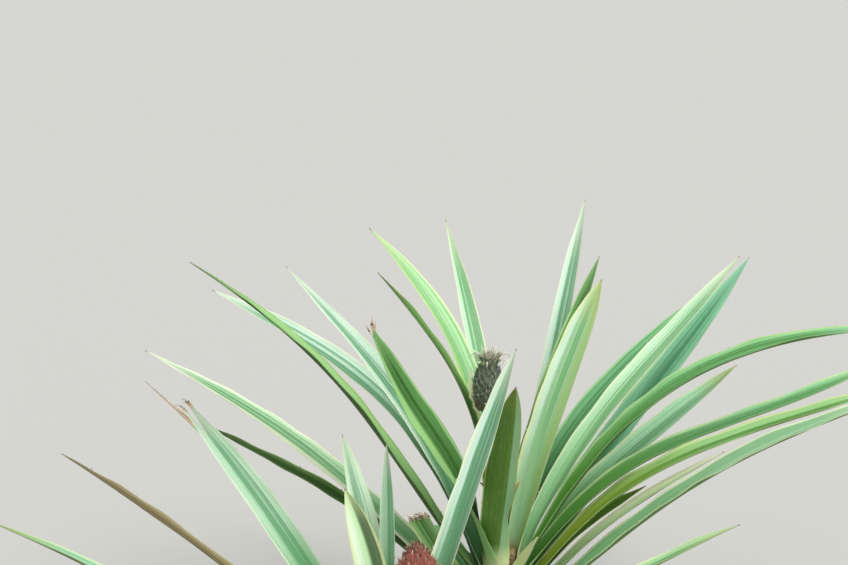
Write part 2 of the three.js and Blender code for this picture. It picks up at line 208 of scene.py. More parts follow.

# Colours of a leaf: the pale and deep stripes of its upper face, its lower part, the half with
# painted light where light shines through it, its margins, its tip and its under face
LOOK_PARTS = ("pale", "deep", "low", "side_light", "margin", "tip", "under")
LOOKS = {
    "mint": ("#cbf0ca", "#7eb67c", "#a8e0a0", "#b4e184", "#f2f8d0", "#e4eecc", "#5f8a3e"),
    "aqua": ("#d6f3dc", "#6ca478", "#7cb884", "#c8e8a4", "#f2f8d8", "#e6f1d8", "#557c40"),
    "blue": ("#b4d6b4", "#689e72", "#5aac56", "#a9d392", "#d8e8ca", "#c0c9b2", "#507a40"),
    "ivory": ("#c6ebc0", "#6fa470", "#78b078", "#e6ecc8", "#f6f9da", "#f2f3dc", "#6c9448"),
    "spring": ("#dcf8dc", "#86c082", "#bceab4", "#bce490", "#f2f8c4", "#d0de84", "#6a933a"),
    "fresh": ("#b6e6aa", "#639f5c", "#62984a", "#a6da7c", "#e8f4bc", "#d2e2a4", "#6a933a"),
    # The green look is darkened as painted shade, for back_right_low, which lies behind back_right_tall, and
    # for the low leaves, which share it.
    "green": ("#78b880", "#45854e", "#44803c", "#a0d068", "#a8cf98", "#9ecb92", "#4c7838"),
    "sea": ("#8acb9e", "#4c8c62", "#478452", "#98cc62", "#b4dcae", "#9ccfae", "#4c7838"),
    "teal": ("#8ccb88", "#508b48", "#5c9a2c", "#98cc62", "#b0d694", "#b2e2bc", "#53783a"),
    "sun": ("#a2dca0", "#5f9e5c", "#68a840", "#a8d25c", "#d0e8a8", "#b8e6ac", "#5f8834"),
    "lime": ("#a6d88e", "#639a4c", "#a0b830", "#b0cc5c", "#dcecaa", "#c2e6a8", "#6c8a2c"),
    # The dark look is partly painted shade, for leaves that lie in the shadow of others, such as back_dark.
    "dark": ("#5f9450", "#335f26", "#3c662a", "#a8d88a", "#a4cc88", "#8fbc78", "#3c6426"),
    "moss": ("#6c9650", "#43692c", "#4a7026", "#a4d68c", "#98bc6e", "#5c6840", "#40602a"),
    # The halved look paints one half dark olive as a painted shadow over the leaf; its other colours are
    # pale.
    "halved": ("#ecfce0", "#cceebc", "#d4f6c6", "#264a10", "#e6eeb0", "#cfe0a0", "#6a933a"),
    "shoot": ("#d6f0d0", "#7fac88", "#7a9c5c", "#98cc62", "#d8ecc0", "#c6dcb8", "#53783a"),
    "olive": ("#a4cc60", "#6c9c38", "#7ca434", "#a9ce4c", "#d4e48e", "#aebf66", "#52802a"),
    "heart": ("#7fa348", "#4c7626", "#52781f", "#93b88c", "#b4c46c", "#9a9a4c", "#52782a"),
    "russet": ("#8f8660", "#66583a", "#6f5a34", "#a89a6c", "#a2966a", "#7d7c5c", "#6a5c38"),
    "grey": ("#a8d8ae", "#6aa070", "#6ca848", "#b4c184", "#cfdcae", "#a8ab5e", "#66824a"),
    "cream": ("#ecf4cc", "#b0d698", "#8fbd6b", "#e2eca0", "#fbf9d8", "#f6f4da", "#8aa45e"),
}
SILVER = "#9fb08f"
STRAW = "#c6b092"
TIP_BROWN = "#8d6c4c"
FRECKLE = "#8d7a4c"
SHEATH_PALE = "#cfd9a2"


# Geometry

def smooth(value, low, high):
    t = np.clip((value - low) / (high - low), 0, 1)
    return t * t * (3 - 2 * t)


def mix(a, b, share):
    return a + (b - a) * share


def unit(vectors):
    return vectors / np.linalg.norm(vectors, axis=-1, keepdims=True)


def direction(elevation, bearing):
    """A unit vector at an elevation, turned from +X towards +Y by a bearing."""
    e, b = np.radians(elevation), np.radians(bearing)
    parts = np.broadcast_arrays(np.cos(e) * np.cos(b), np.cos(e) * np.sin(b), np.sin(e))
    return np.stack(parts, axis=-1)


def bezier(a, b, c, d, count=300):
    t = np.linspace(0, 1, count)[:, None]
    return (1 - t) ** 3 * a + 3 * t * (1 - t) ** 2 * b + 3 * t**2 * (1 - t) * c + t**3 * d


def lengths(path):
    return np.concatenate([[0], np.cumsum(np.linalg.norm(np.diff(path, axis=0), axis=1))])


def along_path(path, shares):
    """Points and unit directions at shares of a path's length."""
    reached = lengths(path) / lengths(path)[-1]
    slopes = np.gradient(path, reached, axis=0)
    points = np.stack([np.interp(shares, reached, axis) for axis in path.T], axis=1)
    ways = np.stack([np.interp(shares, reached, axis) for axis in slopes.T], axis=1)
    return points, unit(ways)


def level_side(ways, bearing):
    """Unit vectors square to a path's directions, as near to a level bearing as they can be."""
    side = direction(0, bearing) * np.ones_like(ways)
    return unit(side - ways * np.sum(side * ways, axis=1, keepdims=True))


def beside(centre, bearing, radius):
    """A point at a bearing and a radius from a centre, level with it."""
    return np.array(centre) + direction(0, bearing) * radius


def waver(rng, places, wavelength):
    """A smooth random line, mostly within -1 and 1, that turns about once a wavelength."""
    total = np.zeros_like(places, dtype=float)
    for _ in range(4):
        length = wavelength * rng.uniform(0.6, 1.8)
        total += np.sin(2 * np.pi * (places / length + rng.uniform()))
    return total / 2


def main_radius(z):
    narrowing = smooth(z, 0.45 * MAIN_STEM["height"], MAIN_STEM["height"])
    flare = (GROUND_RADIUS - MAIN_STEM["low"]) * (1 - smooth(z, 0, 34))
    return mix(MAIN_STEM["low"], MAIN_STEM["top"], narrowing) + flare


def front_radius(z):
    narrowing = smooth(z, FRONT_STEM["upright"], FRONT_STEM["height"])
    return mix(FRONT_STEM["low"], FRONT_STEM["top"], narrowing)


def add_object(name, data):
    thing = bpy.data.objects.new(name, data)
    bpy.context.scene.collection.objects.link(thing)
    return thing


class Shape:
    """Quads gathered from parts. place holds, for each vertex, how far across its blade it is
    (-1 to 1), how far along in metres, and its share of the length."""

    def __init__(self):
        self.vertices, self.faces, self.slots, self.places, self.maps = [], [], [], [], []
        self.count = 0

    def add(self, vertices, faces, slots, places, maps=None):
        self.vertices.append(vertices.reshape(-1, 3))
        self.faces.append(faces + self.count)
        self.slots.append(np.broadcast_to(slots, len(faces)))
        self.places.append(places.reshape(-1, 3))
        self.maps.append(np.zeros((len(faces), 4, 2)) if maps is None else maps)
        self.count += len(self.vertices[-1])

    def build(self, name, materials, node=None, slot="leaf", lot=(0, 0, 0), halves=(0, 0, 0), mapped=False):
        """The object, riding on the plant and standing for its solid."""
        vertices = np.concatenate(self.vertices) * MM
        mesh = bpy.data.meshes.new(name)
        mesh.from_pydata(vertices.tolist(), [], np.concatenate(self.faces).tolist())
        for material in materials:
            mesh.materials.append(material)
        mesh.polygons.foreach_set("material_index", np.concatenate(self.slots).astype(np.int32))
        mesh.shade_smooth()
        place = mesh.attributes.new("place", "FLOAT_VECTOR", "POINT")
        place.data.foreach_set("vector", np.concatenate(self.places).astype(np.float32).ravel())
        for label, values in (("lot", lot), ("halves", halves)):
            tags = mesh.attributes.new(label, "FLOAT_VECTOR", "POINT")
            tags.data.foreach_set("vector", np.tile(np.array(values, np.float32), len(vertices)))
        if mapped:
            bake_map = mesh.uv_layers.new(name="OFBake", do_init=False)
            bake_map.uv.foreach_set("vector", np.concatenate(self.maps).astype(np.float32).ravel())
        thing = add_object(name, mesh)
        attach(thing, "root")
        if node:
            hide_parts(node)


def columns(inner, edge):
    """Places across a blade from -1 to 1, close together at both margins."""
    right = np.array(edge)
    return np.concatenate([-right[::-1], np.linspace(-inner[0], inner[0], inner[1]), right])


LEAF_COLUMNS = columns((0.9, 19), (0.945, 0.975, 0.992, 1.0))
BRACT_COLUMNS = columns((0.8, 5), (0.95, 1.0))


def ring_quads(rows, around):
    """Quads between rings of points, facing out where along x around points out."""
    j = np.arange(around)
    i = np.arange(rows - 1)[:, None]
    a, b = i * around + j, i * around + (j + 1) % around
    return np.stack([a, a + around, b + around, b], axis=-1).reshape(-1, 4)


def add_strap(
    shape, points, side, up, half, arc, thick, u, along, share, relief=0, slots=(0, 1), crease=0, split=None
):
    """A closed blade: an arc across each station, or two flat halves where it has a crease, thin at
    its margins. Its ends are shut by quads between the two faces. From the station split on, it is
    two strips apart. arc, thick, along and share are one number for each station, or for all."""
    n, m = len(points), len(u)
    arc, thick, along, share = (np.broadcast_to(value, n) for value in (arc, thick, along, share))
    radius = (half / np.sin(np.radians(arc)))[:, None]
    turn = np.radians(arc)[:, None] * u
    lateral = radius * np.sin(turn)
    depth = radius * (1 - np.cos(np.radians(arc)))[:, None]
    valley = (np.sqrt(u**2 + 0.04) - 0.2) / (1.04**0.5 - 0.2) * depth
    rise = mix(radius * (1 - np.cos(turn)), valley, crease) + relief
    swell = EDGE_THICKNESS / MID_THICKNESS + (1 - EDGE_THICKNESS / MID_THICKNESS) * (1 - u**2)
    below = thick[:, None] * swell * np.sqrt(np.clip(1 - np.abs(u) ** 40, 0, 1))
    upper = points[:, None] + side[:, None] * lateral[..., None] + up[:, None] * rise[..., None]
    if split:
        hand = np.where(u > u[SPLIT_COLUMN], 1, -1)
        apart = TORN_GAP * smooth(np.arange(n), split - 1, n - 1)[:, None] * hand
        upper += side[:, None] * apart[..., None]
    lower = upper - up[:, None] * below[..., None]
    ring = np.concatenate([upper, lower[:, -2:0:-1]], axis=1)
    across = np.concatenate([u, u[-2:0:-1]])
    places = np.stack(np.broadcast_arrays(across, along[:, None] * MM, share[:, None]), axis=-1)
    around = ring.shape[1]
    faces = ring_quads(n, around)
    is_upper = np.tile(np.arange(around) < m - 1, n - 1)
    pair = np.arange(m)
    under = (around - pair) % around
    under[-1] = m - 1
    foot = np.stack([pair[:-1], pair[1:], under[1:], under[:-1]], axis=1)[1:-1]
    tip = foot[:, ::-1] + (n - 1) * around
    ends = np.concatenate([foot, tip])
    maps = blade_map(across[faces % around], share[faces // around], is_upper)
    face_slots = np.where(is_upper, *slots)
    if split:
        whole = between_strips(n, around, split)
        faces, maps, face_slots = faces[whole], maps[whole], face_slots[whole]
        ends = np.delete(ends, len(foot) + SPLIT_COLUMN - 1, axis=0)
        ends = np.concatenate([ends, split_walls(n, around, split)])
    end_maps = np.full((len(ends), 4, 2), 0.995)
    shape.add(
        ring,
        np.concatenate([faces, ends]),
        np.concatenate([face_slots, np.full(len(ends), slots[1])]),
        places,
        np.concatenate([maps, end_maps]),
    )


def between_strips(n, around, split):
    """Which quads of a strap stay, when those of the split are left out of both faces."""
    keep = np.ones((n - 1, around), bool)
    keep[split:, [SPLIT_COLUMN, around - SPLIT_COLUMN - 1]] = False
    return keep.ravel()


def split_walls(n, around, split):
    """Quads between the two faces along both sides of a split and across its start."""
    i = np.arange(split, n - 1)
    left, right = SPLIT_COLUMN, SPLIT_COLUMN + 1
    walls = []
    for column, order in ((left, (0, 1, 2, 3)), (right, (3, 2, 1, 0))):
        top, low = i * around + column, (i + 1) * around - column
        wall = np.stack([top, low, low + around, top + around], axis=1)
        walls.append(wall[:, order])
    start = split * around
    walls.append([[start + left, start + right, start + around - right, start + around - left]])
    return np.concatenate(walls)


def blade_map(across, share, is_upper):
    """Lays the upper face on the left of a square and the under face on the right."""
    x = 0.01 + 0.23 * (across + 1) + np.where(is_upper, 0, 0.49)[:, None]
    return np.stack([x, 0.01 + 0.98 * share], axis=-1)


def add_tooth(shape, root, way, out, size, place):
    """A thorn on a margin, bent towards the tip."""
    flat = np.cross(way, out)
    rings = []
    for level, wide, lean in ((-0.3, 0.62, 0.0), (0.35, 0.4, 0.18), (1.0, 0.05, 0.75)):
        centre = root + out * size * level + way * size * lean
        a, b = way * size * wide, flat * size * wide * 0.35
        rings += [centre + a, centre + b, centre - a, centre - b]
    faces = ring_quads(3, 4)
    ends = np.array([[0, 1, 2, 3], [11, 10, 9, 8]])
    places = np.tile(place, (12, 1))
    spot = np.array([0.985, 0.01 + 0.98 * place[2]])
    corner = np.array([[0, 0], [0.006, 0], [0.006, 0.006], [0, 0.006]])
    maps = np.tile(spot + corner, (len(faces) + 2, 1, 1))
    shape.add(np.array(rings), np.concatenate([faces[:, ::-1], ends[:, ::-1]]), 0, places, maps)


def leaf_path(leaf, foot_height, radius_at):
    """The line along the middle of a leaf's upper face: up the stem inside its sheath, then out."""
    foot_bearing = leaf.azimuth if leaf.foot is None else leaf.foot
    foot = direction(0, foot_bearing) * (radius_at(foot_height) + SEAT)
    foot[2] = foot_height
    tip = direction(0, leaf.azimuth) * leaf.reach
    tip[2] = leaf.top
    chord = tip - foot
    slope = math.degrees(math.atan2(chord[2], math.hypot(chord[0], chord[1])))
    chord_bearing = math.degrees(math.atan2(chord[1], chord[0]))
    bearing = foot_bearing + (chord_bearing - foot_bearing + 180) % 360 - 180
    handle = HANDLE * np.linalg.norm(chord)
    start = direction(slope + leaf.steep, bearing + leaf.sway) * handle
    end = direction(slope - leaf.nod, bearing - leaf.sway) * handle
    blade = bezier(foot, foot + start, tip - end, tip)
    met = np.searchsorted(lengths(blade), SHEATH_REACH)
    joined = blade[met]
    way = unit(blade[met + 1] - blade[met])
    low = max(foot_height - SHEATH_DROP, 2.5)
    root = direction(0, foot_bearing) * (radius_at(low) + 1)
    root[2] = low
    hold = 0.4 * np.linalg.norm(joined - root)
    sheath = bezier(root, root + UP * hold, joined - way * hold, joined, 40)
    return np.concatenate([sheath[:-1], blade[met:]]), foot_bearing, bearing


def width_share(s, taper):
    foot = mix(FOOT_SHARE, 1, smooth(s, 0, 0.3))
    return foot * (1 - (np.clip(s - 0.45, 0, None) / 0.55) ** taper)


def leaf_stations():
    """Shares along a leaf, closer together at the sheath and at the tip."""
    t = np.linspace(0, 1, BLADE_STATIONS)
    return t + 0.035 * np.sin(2 * np.pi * t) * (t - 0.5)


def leaf_object(prefix, leaf, index, place, foot_height, radius_at, materials):
    """A leaf's piece: the blade from its sheath to its tip, its thorns, and shreds if it is frayed."""
    rng = np.random.default_rng(1000 * len(prefix) + index)
    path, foot_bearing, bearing = leaf_path(leaf, foot_height, radius_at)
    length = lengths(path)[-1]
    s = leaf_stations()
    along = s * length
    points, ways = along_path(path, s)
    side = level_side(ways, 90 + mix(foot_bearing, bearing, smooth(s, 0, 0.3)))
    turn = np.radians(leaf.turn * np.sign(math.cos(math.radians(bearing))) * smooth(s, 0, 0.5))
    turn += np.radians(TWIST) * waver(rng, along, 260) * smooth(s, 0.2, 0.5)
    over = np.cross(ways, side)
    side = side * np.cos(turn)[:, None] + over * np.sin(turn)[:, None]
    up = np.cross(ways, side)

    sheath = 1 - smooth(along, 18, SHEATH_LENGTH)
    wrap = (radius_at(foot_height) + 2.5) * math.sin(math.radians(SHEATH_ARC))
    torn = smooth(s, leaf.split - 0.02, leaf.split) if leaf.frayed else 0 * s
    half = np.maximum(leaf.width / 2 * width_share(s, leaf.taper), mix(0.35, TORN_HALF, torn))
    half = mix(half, wrap, sheath)
    half *= 1 + 0.012 * waver(rng, along, 90) * smooth(s, 0.1, 0.3)
    arc = mix(CHANNEL_FOOT, CHANNEL_BLADE, smooth(s, 0, 0.25))
    arc = mix(arc, SHEATH_ARC, sheath) * (1 + 0.06 * waver(rng, along, 200))
    thick = MID_THICKNESS * (1 - 0.55 * s) * mix(1, SHEATH_THICKER, sheath)

    u = LEAF_COLUMNS
    fold = sum(size * np.cos(np.pi * (turns * u + rng.uniform(-1, 1))) for size, turns in RIBS)
    fold = fold * (half / 22 * smooth(s, 0.08, 0.25))[:, None]
    wave = np.where(u < 0, waver(rng, along, 110)[:, None], waver(rng, along, 110)[:, None])
    edge = EDGE_WAVE * np.abs(u) ** 3 * wave * (smooth(s, 0.15, 0.35) * (1 - smooth(s, 0.85, 1)))[:, None]

    shape = Shape()
    crease = (CREASE * smooth(s, 0.12, 0.4))[:, None]
    split = int(np.searchsorted(s, leaf.split)) if leaf.frayed else None
    add_strap(
        shape, points, side, up, half, arc, thick, u, along, s,
        relief=fold + edge, crease=crease, split=split,
    )
    add_teeth(shape, rng, points, ways, side, up, half, arc, along, length * leaf.split)
    if leaf.frayed:
        add_shreds(shape, rng, points, ways, side, up)
    for part in shape.vertices:
        part += place
    lot = (rng.uniform(0, 50), 1 - leaf.dry / length, 1 - BROWN_POINT / length)
    halves = (leaf.side_light, leaf.shade, 0)
    name = f"{prefix}_blade_{leaf.name}"
    node = f"{prefix}_leaf_{leaf.name}"
    shape.build(name, materials[leaf.look], node, "leaf", lot, halves, mapped=True)


def add_teeth(shape, rng, points, ways, side, up, half, arc, along, length):
    """Small thorns: close together near the tip and on the sheath, and few between."""
    for hand in (-1, 1):
        reached = TOOTH_FIRST
        while reached < length - TOOTH_LAST:
            share = reached / length
            i = int(np.searchsorted(along, reached))
            radius = half[i] / math.sin(math.radians(arc[i]))
            turn = math.radians(arc[i]) * hand
            root = points[i] + side[i] * radius * math.sin(turn) + up[i] * radius * (1 - math.cos(turn))
            out = side[i] * math.cos(turn) * hand + up[i] * math.sin(turn) * hand
            size = TOOTH_LENGTH * rng.uniform(0.55, 1.1) * (1 - 0.35 * share)
            add_tooth(shape, root, ways[i], out, size, np.array([hand, reached * MM, share]))
            often = smooth(share, 0.7, 0.93) + 1 - smooth(share, 0.04, 0.2)
            reached += mix(*TOOTH_SPACING, min(float(often), 1)) * rng.uniform(0.6, 1.5)


def add_shreds(shape, rng, points, ways, side, up):
    """Dry torn strips that curl back from a broken tip."""
    share = np.linspace(0, 1, 10)
    for hand in (-1, -1, -1, -1, 1, 1, 1):
        i = len(points) - 1 - rng.integers(0, 3)
        root = points[i] + side[i] * hand * rng.uniform(0.6, 1.7) * TORN_GAP
        way = unit(ways[i] + side[i] * hand * rng.uniform(-0.2, 0.9) + up[i] * rng.uniform(-0.1, 0.6))
        away = unit(side[i] * rng.uniform(-1, 1) - up[i] * 0.4)
        long = rng.uniform(7, 15)
        path = bezier(
            root,
            root + way * 0.5 * long,
            root + way * long + away * 0.2 * long,
            root + way * 0.8 * long + away * 0.6 * long,
            60,
        )
        at, going = along_path(path, share)
        across = unit(np.cross(going, away))
        over = np.cross(going, across)
        add_strap(
            shape, at, across, over, 1.3 * (1 - 0.85 * share), 30, 0.5, BRACT_COLUMNS, 500, 0.993,
            slots=(0, 0),
        )


# Materials

def linear(colour):
    """A colour like #rrggbb as linear RGBA."""
    values = [int(colour[i : i + 2], 16) / 255 for i in (1, 3, 5)]
    return [v / 12.92 if v <= 0.04045 else ((v + 0.055) / 1.055) ** 2.4 for v in values] + [1.0]


class Paint:
    """A material and short ways to add its nodes."""

    def __init__(self, name, specular):
        self.material = bpy.data.materials.new(name)
        self.material.use_nodes = True
        self.nodes = self.material.node_tree.nodes
        self.links = self.material.node_tree.links
        self.surface = self.nodes["Principled BSDF"]
        self.surface.inputs["Specular IOR Level"].default_value = specular

    def feed(self, socket, value):
        if isinstance(value, bpy.types.NodeSocket):
            self.links.new(value, socket)
        else:
            socket.default_value = value

    def node(self, kind, inputs, output=0, **settings):
        made = self.nodes.new("ShaderNode" + kind)
        for key, value in settings.items():
            setattr(made, key, value)
        for key, value in inputs.items():
            self.feed(made.inputs[key], value)
        return made.outputs[output]

    def maths(self, operation, a, b=0.0):
        return self.node("Math", {0: a, 1: b}, operation=operation)

    def total(self, *terms):
        """The sum of values, each times its own number."""
        parts = [self.maths("MULTIPLY", value, number) for value, number in terms]
        while len(parts) > 1:
            parts[:2] = [self.maths("ADD", parts[0], parts[1])]
        return parts[0]

    def step(self, value, low, high):
        inputs = {"Value": value, "From Min": low, "From Max": high}
        return self.node("MapRange", inputs, interpolation_type="SMOOTHSTEP")

    def blend(self, share, a, b):
        a, b = (linear(c) if isinstance(c, str) else c for c in (a, b))
        return self.node("Mix", {0: share, 6: a, 7: b}, 2, data_type="RGBA")

    def cover(self, colour, share, most, layer):
        """A colour with a layer over it, whose strength is a share times the most that it has."""
        return self.blend(self.maths("MULTIPLY", share, most), colour, layer)

    def attribute(self, name):
        """The three numbers of a vector that the mesh carries."""
        vector = self.node("Attribute", {}, 1, attribute_name=name)
        parts = self.nodes.new("ShaderNodeSeparateXYZ")
        self.links.new(vector, parts.inputs[0])
        return vector, parts.outputs

    def noise(self, vector, stretch, shift=None, detail=2.0):
        """Soft noise from 0 to 1, with a scale of its own along each part of the vector."""
        place = self.node("VectorMath", {0: vector, 1: stretch}, operation="MULTIPLY")
        if shift is not None:
            place = self.node("VectorMath", {0: place, 1: shift}, operation="ADD")
        return self.node("TexNoise", {"Vector": place, "Scale": 1.0, "Detail": detail})

    def bump(self, height, distance):
        normal = self.node("Bump", {"Height": height, "Distance": distance, "Strength": 1.0})
        self.links.new(normal, self.surface.inputs["Normal"])

    def finish(self, colour, roughness):
        self.feed(self.surface.inputs["Base Color"], colour)
        self.feed(self.surface.inputs["Roughness"], roughness)
        return self.material


def leaf_paint(name, look, upper):
    """A blade's face: stripes along it, light margins, a pale tip with a dry point, a pale sheath."""
    paint = Paint(name, specular=0.22 if upper else 0.15)
    place, (across, along, share) = paint.attribute("place")
    lot, (_, dry_from, brown_from) = paint.attribute("lot")
    _, (side_light, shade, _) = paint.attribute("halves")
    edge = paint.maths("ABSOLUTE", across)
    broad = paint.noise(place, (1.4, 2.5, 0), lot)
    stripes = paint.noise(place, (6.5, 1.2, 0), lot)
    ribs = paint.noise(place, (24, 2.5, 0), lot, detail=3)
    mottle = paint.noise(place, (5, 90, 0), lot, detail=4)
    if upper:
        # Painted shade: the level is lower in the middle of the channel, so the groove is darker and the
        # halves grow paler towards the margins.
        level = paint.total(
            (stripes, 1.1), (broad, 0.5), (ribs, 0.45), (mottle, 0.12), (share, 0.15),
            (paint.step(edge, 0.15, 0.8), 0.36),
        )
        colour = paint.blend(paint.step(level, 1.08, 1.52), look["deep"], look["pale"])
        # Towards the foot the low colour takes over: partly the leaf's own base colour and partly painted
        # shade, where the lower part lies under the other leaves.
        low = paint.step(share, 0.6, 0.16)
        colour = paint.cover(colour, low, 0.88, look["low"])
        # Painted light and shade on the halves: one half takes the colour of light shining through it, and
        # the other half is darkened to the deep colour as painted shade.
        shone = paint.step(paint.maths("MULTIPLY", across, side_light), 0.04, 0.22)
        colour = paint.cover(colour, shone, 0.85, look["side_light"])
        shaded = paint.step(paint.maths("MULTIPLY", across, shade), 0.02, 0.2)
        colour = paint.cover(colour, shaded, 0.75, look["deep"])
        drift = paint.noise(place, (0, 9, 0), lot, detail=1)
        rim = paint.step(paint.total((edge, 1.0), (drift, -0.3)), 0.65, 0.73)
    else:
        level = paint.total((ribs, 1.1), (mottle, 0.6), (stripes, 0.5))
        silvered = paint.maths("MULTIPLY", paint.step(level, 0.95, 1.6), 0.35)
        colour = paint.blend(silvered, look["under"], SILVER)
        # Painted light: one half of the under face takes the colour of light shining through it.
        shone = paint.step(paint.maths("MULTIPLY", across, side_light), 0.25, 0.36)
        colour = paint.cover(colour, shone, 0.8, look["side_light"])
        rim = paint.step(edge, 0.9, 0.975)
    young = paint.step(share, 0.8, 1.0)
    colour = paint.cover(colour, young, 0.7 if upper else 0.35, look["tip"])
    colour = paint.cover(colour, rim, 0.92, look["margin"])
    colour = paint.blend(paint.step(along, 0.05, 0.012), colour, SHEATH_PALE)
    withered = paint.total((share, 1.0), (mottle, 0.015), (dry_from, -1.0))
    colour = paint.blend(paint.step(withered, 0.0, 0.012), colour, STRAW)
    browned = paint.total((share, 1.0), (mottle, 0.003), (brown_from, -1.0))
    colour = paint.blend(paint.step(browned, 0.0, 0.003), colour, TIP_BROWN)
    freckles = paint.step(paint.noise(place, (14, 260, 0), lot, detail=1), 0.75, 0.82)
    colour = paint.cover(colour, freckles, 0.3, FRECKLE)
    roughness = paint.node("MapRange", {"Value": stripes, "To Min": 0.42 if upper else 0.5, "To Max": 0.66})
    paint.bump(paint.total((ribs, 1.0), (stripes, 0.6)), 0.0006 if upper else 0.001)
    return paint.finish(colour, roughness)


def leaf_paints():
    """The upper and the under face's material for each look."""
    paints = {}
    for name, colours in LOOKS.items():
        look = dict(zip(LOOK_PARTS, colours))
        paints[name] = [leaf_paint(f"{name}_upper", look, True), leaf_paint(f"{name}_under", look, False)]
    return paints


def bract_paint(name, dark, light, tip, rim, tip_from=0.55):
    """A small scale or bract, darker or lighter than the next, with a light tip and rim."""
    paint = Paint(name, specular=0.2)
    place, (across, _, share) = paint.attribute("place")
    tone = paint.noise(place, (0, 25, 0), detail=1)
    grain = paint.noise(place, (6, 220, 3), detail=3)
    colour = paint.blend(paint.step(paint.total((tone, 0.75), (grain, 0.25)), 0.35, 0.62), dark, light)
    reach = paint.total((share, 1.0), (grain, 0.3), (tone, -0.3))
    colour = paint.blend(paint.step(reach, tip_from, tip_from + 0.5), colour, tip)
    edge = paint.step(paint.maths("ABSOLUTE", across), 0.7, 0.98)
    colour = paint.cover(colour, edge, 0.6, rim)
    paint.bump(grain, 0.0006)
    return paint.finish(colour, 0.7)


def body_paint(name, dark, light, spot, scale, distance):
    """Stem, stalk or fruit flesh: mottled, with a grain of a given scale per metre."""
    paint = Paint(name, specular=0.3)
    where = paint.node("TexCoord", {}, "Object")
    broad = paint.noise(where, (scale * 0.25,) * 3, detail=3)
    fine = paint.noise(where, (scale, scale, scale * 0.35), detail=5)
    colour = paint.blend(paint.step(broad, 0.35, 0.65), dark, light)
    colour = paint.cover(colour, paint.step(fine, 0.52, 0.7), 0.7, spot)
    paint.bump(fine, distance)
    return paint.finish(colour, 0.75)


# Stems, stalks and fruits

def add_tube(shape, points, ways, radii):
    """A closed skin round a path. radii is a row of distances from the path for each point."""
    count = radii.shape[1]
    across = unit(np.cross(np.array([0.0, 1, 0]), ways))
    over = np.cross(ways, across)
    turn = 2 * np.pi * np.arange(count) / count
    ring = across[:, None] * np.cos(turn)[None, :, None] + over[:, None] * np.sin(turn)[None, :, None]
    skin = points[:, None] + ring * radii[..., None]
    hubs = points[[0, -1]]
    vertices = np.concatenate([skin.reshape(-1, 3), hubs])
    faces = ring_quads(len(points), count)[:, ::-1]
    j = np.arange(0, count, 2)
    low, high = len(vertices) - 2, len(vertices) - 1
    last = (len(points) - 1) * count
    foot = np.stack([np.full(len(j), low), (j + 2) % count, j + 1, j], axis=1)
    head = np.stack([np.full(len(j), high), last + j, last + j + 1, last + (j + 2) % count], axis=1)
    share = np.repeat(np.linspace(0, 1, len(points)), count)
    share = np.append(share, [0, 1])
    place = np.stack([np.zeros_like(share), share, share], axis=1)
    shape.add(vertices, np.concatenate([faces, foot, head]), 0, place)


def scarred(rng, along, count, radius, pitch=7.0, depth=1.3):
    """Radii of a stem with the rims that fallen leaves left, and a fibrous grain."""
    turn = 2 * np.pi * np.arange(count) / count
    climb = along[:, None] + 2.6 * np.sin(2 * turn + 0.8) + 1.8 * np.sin(3 * turn + along[:, None] / 31)
    rim = np.abs(np.sin(np.pi * climb / pitch)) ** 6
    grain = 0
    for fibres in (11, 17, 29, 37):
        grain += np.sin(fibres * turn + rng.uniform(0, 6) + along[:, None] / rng.uniform(9, 30))
    return radius[:, None] + depth * (rim - 0.6) + 0.22 * grain


def stem_path():
    """The smaller shoot's stem: out of the main stem close to the ground, then up."""
    out = direction(0, FRONT_ROOT_ANGLE)
    height = FRONT_ROOT_HEIGHT
    root = out * (main_radius(height) + 3) + UP * height
    lean = root + out * 110
    lean[2] = 30
    turn = FRONT_PLACE + UP * 15
    upright = FRONT_PLACE + UP * FRONT_STEM["upright"]
    return bezier(root, lean, turn, upright)


def stems(bark):
    """The main stem, and the smaller shoot's stem from where it leaves it."""
    rng = np.random.default_rng(5)
    count = 96
    z = np.arange(0, MAIN_STEM["height"] - 5.9, 2.0)
    points = np.stack([0 * z, 0 * z, z], axis=1)
    radii = scarred(rng, z, count, main_radius(z) - 0.6)
    top = np.array([[0, 0, MAIN_STEM["height"] - 2.0], [0, 0, MAIN_STEM["height"]]])
    points = np.concatenate([points, top])
    radii = np.concatenate([radii, np.full((1, count), MAIN_STEM["top"] - 3.0), np.full((1, count), 9.0)])
    shape = Shape()
    add_tube(shape, points, np.tile(UP, (len(points), 1)), radii)
    shape.build("main_stem_bark", [bark], "main_stem", "stem")

    path = stem_path()
    reached = lengths(path)[-1]
    share = np.linspace(0, 1, 90)
    points, ways = along_path(path, share)
    radius = mix(FRONT_STEM["root"], FRONT_STEM["low"], share)
    z = np.arange(FRONT_STEM["upright"] + 2.0, FRONT_STEM["height"], 2.0)
    points = np.concatenate([points, FRONT_PLACE + np.stack([0 * z, 0 * z, z], axis=1)])
    ways = np.concatenate([ways, np.tile(UP, (len(z), 1))])
    radius = np.concatenate([radius, front_radius(z)])
    along = np.concatenate([share * reached, reached + z - FRONT_STEM["upright"]])
    radii = scarred(rng, along, count, radius - 0.6, pitch=11.0, depth=1.0)
    shape = Shape()
    add_tube(shape, points, ways, radii)
    shape.build("front_stem_bark", [bark], "front_stem", "stem")


def stalk_path(foot, head):
    rise = UP * 0.4 * (head[2] - foot[2])
    return bezier(foot, foot + rise, head - rise, head)


